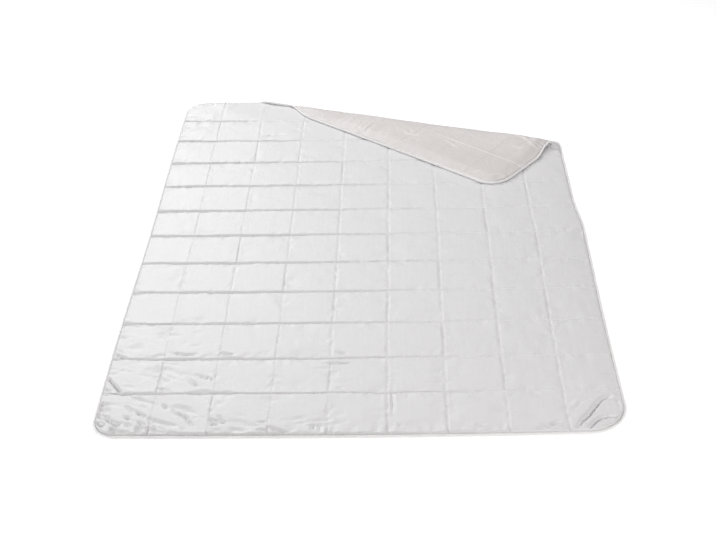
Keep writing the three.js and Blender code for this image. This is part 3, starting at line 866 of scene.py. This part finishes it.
# %% Recipe of a material
class Recipe:
    """The nodes of one material; each value given to a node is linked if it is a socket, or set."""

    def __init__(self, name):
        """An empty recipe around the material's own shader."""
        self.material = bpy.data.materials.new(name)
        self.material.use_nodes = True
        self.tree = self.material.node_tree
        self.shader = self.tree.nodes["Principled BSDF"]

    def node(self, kind, values, output=0, **settings):
        """One output of a new node."""
        made = self.tree.nodes.new("ShaderNode" + kind)
        for key, value in settings.items():
            setattr(made, key, value)
        self.fill(made, values)
        return made.outputs[output]

    def fill(self, made, values):
        """Link or set each input."""
        for key, value in values.items():
            if isinstance(value, bpy.types.NodeSocket):
                self.tree.links.new(value, made.inputs[key])
            else:
                made.inputs[key].default_value = value

    def place(self, name):
        """One of the piece's own UV maps."""
        return self.node("UVMap", {}, uv_map=name)

    def maths(self, operation, a, b=0.0, c=0.0):
        """The result of a Math node."""
        return self.node("Math", {0: a, 1: b, 2: c}, operation=operation)

    def dyed(self, colour, tone):
        """A colour times a tone."""
        return self.node("VectorMath", {0: colour, "Scale": tone}, operation="SCALE")

    def total(self, *parts):
        """The sum of each socket times its number."""
        found = 0.0
        for socket, share in parts:
            found = self.maths("MULTIPLY_ADD", socket, share, found)
        return found

    def streaks(self, where, across, along, turned=0.0):
        """Noise from 0 to 1, as fine as across in u and as long as along in v, in metres."""
        turned = self.node("Mapping", {"Vector": where, "Rotation": (0, 0, turned)})
        stretched = self.node("Mapping", {"Vector": turned, "Scale": (1 / across, 1 / along, 1)})
        return self.node("TexNoise", {"Vector": stretched, "Scale": 1.0, "Detail": 2.0}, "Fac",
                         noise_dimensions="2D")

    def weave(self, where, pitch, turned=0.0):
        """Threads as |sin|; which of the two is on top goes by the product of both sines."""
        turned = self.node("Mapping", {"Vector": where, "Rotation": (0, 0, turned)})
        u, v = [self.node("SeparateXYZ", {0: turned}, k) for k in (0, 1)]
        sine_u, sine_v = [self.maths("SINE", self.maths("MULTIPLY", w, np.pi / pitch)) for w in (u, v)]
        over = self.maths("MULTIPLY_ADD", self.maths("MULTIPLY", sine_u, sine_v), 0.5, 0.5)
        thread_u, thread_v = [self.maths("ABSOLUTE", sine) for sine in (sine_u, sine_v)]
        return self.node("Mix", {0: over, 2: thread_u, 3: thread_v})

    def near(self, distance, reach):
        """1 where the distance is 0, and 0 from the reach on."""
        return self.node("MapRange", {"Value": distance, "From Max": reach, "To Min": 1.0, "To Max": 0.0},
                         interpolation_type="SMOOTHSTEP")


# %% [markdown]
# ## The cover
#
# The cover is a smooth off-white plain weave with a soft sheen. Thicker threads give faint streaks
# both ways. Where it is sewn, the cloth is drawn into small puckers, and painted shade with some dirt
# makes it a little darker there; the row seams at the right get a painted highlight. The lower cloth,
# which the turned corner shows, is warmer, greyer and more crumpled; its ridges, and its row seams
# near the corner, get a painted highlight.

# %% Cover cloth
COVER_COLOUR, LOWER_COLOUR = (0.757, 0.752, 0.755, 1), (0.70, 0.668, 0.652, 1)
WEAVE_PITCH, SQUARE_SIDE = 0.0011, 0.165
WEAVE_DEPTH, PUCKER_DEPTH = 0.00006, 0.0009
SEAM_REACH, ROW_REACH, COLUMN_REACH = 0.005, 0.030, 0.024

cover = Recipe("cover_cloth")
on_cloth, in_squares = cover.place("cloth"), cover.place("squares")
lower_side = cover.node("Attribute", {}, "Fac", attribute_name="lower_cloth")
# Painted highlight on the turned corner's ridges, read from the mesh.
painted_ridge_highlight = cover.node("Attribute", {}, "Fac", attribute_name="ridge_highlight")

slubs_up = cover.streaks(on_cloth, across=0.0035, along=0.16)
slubs_across = cover.streaks(on_cloth, across=0.13, along=0.0032)
bands = cover.streaks(on_cloth, across=0.011, along=0.45)
weave = cover.weave(on_cloth, WEAVE_PITCH)

in_columns, in_rows = [cover.node("SeparateXYZ", {0: in_squares}, k) for k in (0, 1)]
to_column_seam, to_row_seam = [cover.maths("MULTIPLY", cover.maths("PINGPONG", count, 0.5), SQUARE_SIDE)
                               for count in (in_columns, in_rows)]
across_rows = cover.maths("MULTIPLY", cover.streaks(on_cloth, across=0.009, along=0.05),
                          cover.near(to_row_seam, ROW_REACH))
across_columns = cover.maths("MULTIPLY", cover.streaks(on_cloth, across=0.05, along=0.009),
                             cover.near(to_column_seam, COLUMN_REACH))
crumpled = cover.node("TexNoise", {"Vector": on_cloth, "Scale": 38.0, "Detail": 4.0, "Roughness": 0.55,
                                   "Distortion": 0.8}, "Fac")
crumpled = cover.maths("MULTIPLY", crumpled, cover.maths("MULTIPLY_ADD", lower_side, 1.0, 1.35))

fine = cover.node("Bump", {"Height": cover.total((weave, 1.0), (slubs_up, 1.5), (slubs_across, 1.5)),
                           "Distance": WEAVE_DEPTH})
soft = cover.node("Bump", {"Height": cover.total((across_rows, 1.0), (across_columns, 1.0), (crumpled, 1.0)),
                           "Distance": PUCKER_DEPTH, "Normal": fine})
row_seam = cover.near(to_row_seam, SEAM_REACH)
# Painted shade, with some dirt, darkens the cloth along every seam.
seam_shade_and_dirt = cover.maths("MAXIMUM", row_seam, cover.near(to_column_seam, SEAM_REACH))
at_right, at_corner = [cover.node("MapRange", {"Value": in_columns, "From Min": low, "From Max": high})
                       for low, high in ((4.0, 7.0), (6.2, 7.4))]
# Painted highlights: the row seams at the right, and the lower cloth's row seams near the turned corner, are
# made lighter.
painted_highlight_at_right = cover.maths("MULTIPLY", row_seam, at_right)
painted_highlight_at_corner = cover.maths("MULTIPLY", cover.maths("MULTIPLY", row_seam, lower_side), at_corner)
tone = cover.total((slubs_up, 0.045), (slubs_across, 0.045), (bands, 0.03), (seam_shade_and_dirt, -0.065),
                   (painted_ridge_highlight, 0.16), (painted_highlight_at_corner, 0.2), (painted_highlight_at_right, 0.10))
plain = cover.node("Mix", {0: lower_side, 6: COVER_COLOUR, 7: LOWER_COLOUR}, 2, data_type="RGBA")
cover.fill(cover.shader, {"Base Color": cover.dyed(plain, cover.maths("ADD", tone, 0.94)), "Normal": soft,
                          "Sheen Weight": 0.2, "Sheen Roughness": 0.4,
                          "Roughness": cover.maths("MULTIPLY_ADD", bands, 0.08, 0.38)})
body.data.materials.append(cover.material)
print("the cover has", len(cover.tree.nodes), "nodes")

# %% [markdown]
# ## The corded edge and the thread
#
# The strip round the cord is cut on the slant, so that it bends round the corners: its weave runs at
# 45 degrees. Its off-white is painted lighter than the cover's, a painted highlight along the lit top
# of the cord, and it is drawn into fine ribs where it is sewn. The thread is plain and slightly glossy.

# %% Edge cloth and thread
# The edge colour holds a painted highlight: it is lighter than the cover's, so that the cord's top looks
# lit.
EDGE_COLOUR_WITH_HIGHLIGHT, THREAD_COLOUR = (0.91, 0.903, 0.897), (0.86, 0.85, 0.84)

strip = Recipe("edge_cloth")
strip_place = strip.place("cloth")
ribs = strip.streaks(strip_place, across=0.0045, along=0.03, turned=np.radians(12))
strip_weave = strip.weave(strip_place, WEAVE_PITCH, turned=np.radians(45))
patches = strip.streaks(strip_place, across=0.06, along=0.05)
strip_height = strip.total((strip_weave, 0.15), (ribs, 1.0))
strip_bump = strip.node("Bump", {"Height": strip_height, "Distance": 0.0006})
strip_tone = strip.maths("ADD", strip.total((patches, 0.05), (ribs, 0.04)), 0.955)
strip.fill(strip.shader, {"Base Color": strip.dyed(EDGE_COLOUR_WITH_HIGHLIGHT, strip_tone), "Normal": strip_bump,
                          "Sheen Weight": 0.2,
                          "Roughness": strip.maths("MULTIPLY_ADD", patches, 0.1, 0.4)})
edge.data.materials.append(strip.material)

twist = Recipe("sewing_thread")
twisted = twist.streaks(twist.place("cloth"), across=0.0009, along=0.0006)
twist_tone = twist.maths("MULTIPLY_ADD", twisted, 0.08, 0.95)
twist.fill(twist.shader, {"Base Color": twist.dyed(THREAD_COLOUR, twist_tone), "Roughness": 0.42,
                          "Sheen Weight": 0.1,
                          "Normal": twist.node("Bump", {"Height": twisted, "Distance": 0.0002})})
for thread in (upper_thread, lower_thread):
    thread.data.materials.append(twist.material)
print("materials:", [m.name for m in bpy.data.materials])

# %% [markdown]
# ## Floor, world and lights
#
# The photograph is a studio shot on white: a pale floor, and broad soft lights that leave hardly a
# shadow. Most light comes from behind on the left, so that the low seams and creases show. The floor
# gives off a faint light of its own, which keeps it white, and the world is nearly dark.

# %% Floor, world and lights
FLOOR_SIZE, FLOOR_DROP, FLOOR_GREY, FLOOR_GLOW, WORLD_LIGHT = 30, 0.0005, 0.75, 0.45, 0.02
LIGHTS = [  # name, place, target, size in m, power in W, colour
    ("over", (0, 0, 2.8), (0, 0, 0), 2.0, 24, (1, 1, 1)),
    ("back_left", (-1.8, 3.2, 2.2), (-0.4, 0, 0), 2.0, 84, (0.985, 0.985, 1.0)),
    ("back", (0, 2.6, 2.4), (0, 0, 0), 1.8, 24, (1.0, 0.99, 0.99)),
    ("near_left", (-2.6, -1.6, 1.2), (-0.4, -0.3, 0), 1.2, 32, (1, 1, 1)),
    ("front_right", (1.6, -2.6, 1.7), (0.4, -0.3, 0), 1.5, 43, (1.0, 0.975, 0.975)),
    ("right", (2.5, 1.0, 1.1), (0.6, 0.7, 0), 1.0, 10, (1.0, 0.975, 0.975))]

bpy.ops.mesh.primitive_plane_add(size=FLOOR_SIZE, location=(0, 0, -FLOOR_DROP))
floor = bpy.context.object
floor.name = "floor"
ground = Recipe("floor")
ground.fill(ground.shader, {"Base Color": (FLOOR_GREY, FLOOR_GREY, FLOOR_GREY, 1), "Roughness": 0.9,
                            "Emission Color": (1, 1, 1, 1), "Emission Strength": FLOOR_GLOW})
floor.data.materials.append(ground.material)

world = bpy.data.worlds.new("studio")
bpy.context.scene.world = world
world.use_nodes = True
background = world.node_tree.nodes["Background"]
background.inputs["Color"].default_value = (1, 1, 1, 1)
background.inputs["Strength"].default_value = WORLD_LIGHT


def softbox(name, position, target, size, power, colour):
    """A square area light, turned to its target."""
    data = bpy.data.lights.new(name, "AREA")
    data.color, data.shape, data.size, data.energy = colour, "SQUARE", size, power
    lamp = in_scene(name, data)
    lamp.location = position
    lamp.rotation_euler = (Vector(position) - Vector(target)).to_track_quat("Z", "Y").to_euler()


for light in LIGHTS:
    softbox(*light)
bpy.context.scene.view_settings.view_transform = "Standard"
print(len(LIGHTS), "lights of", sum(light[4] for light in LIGHTS), "W in all")
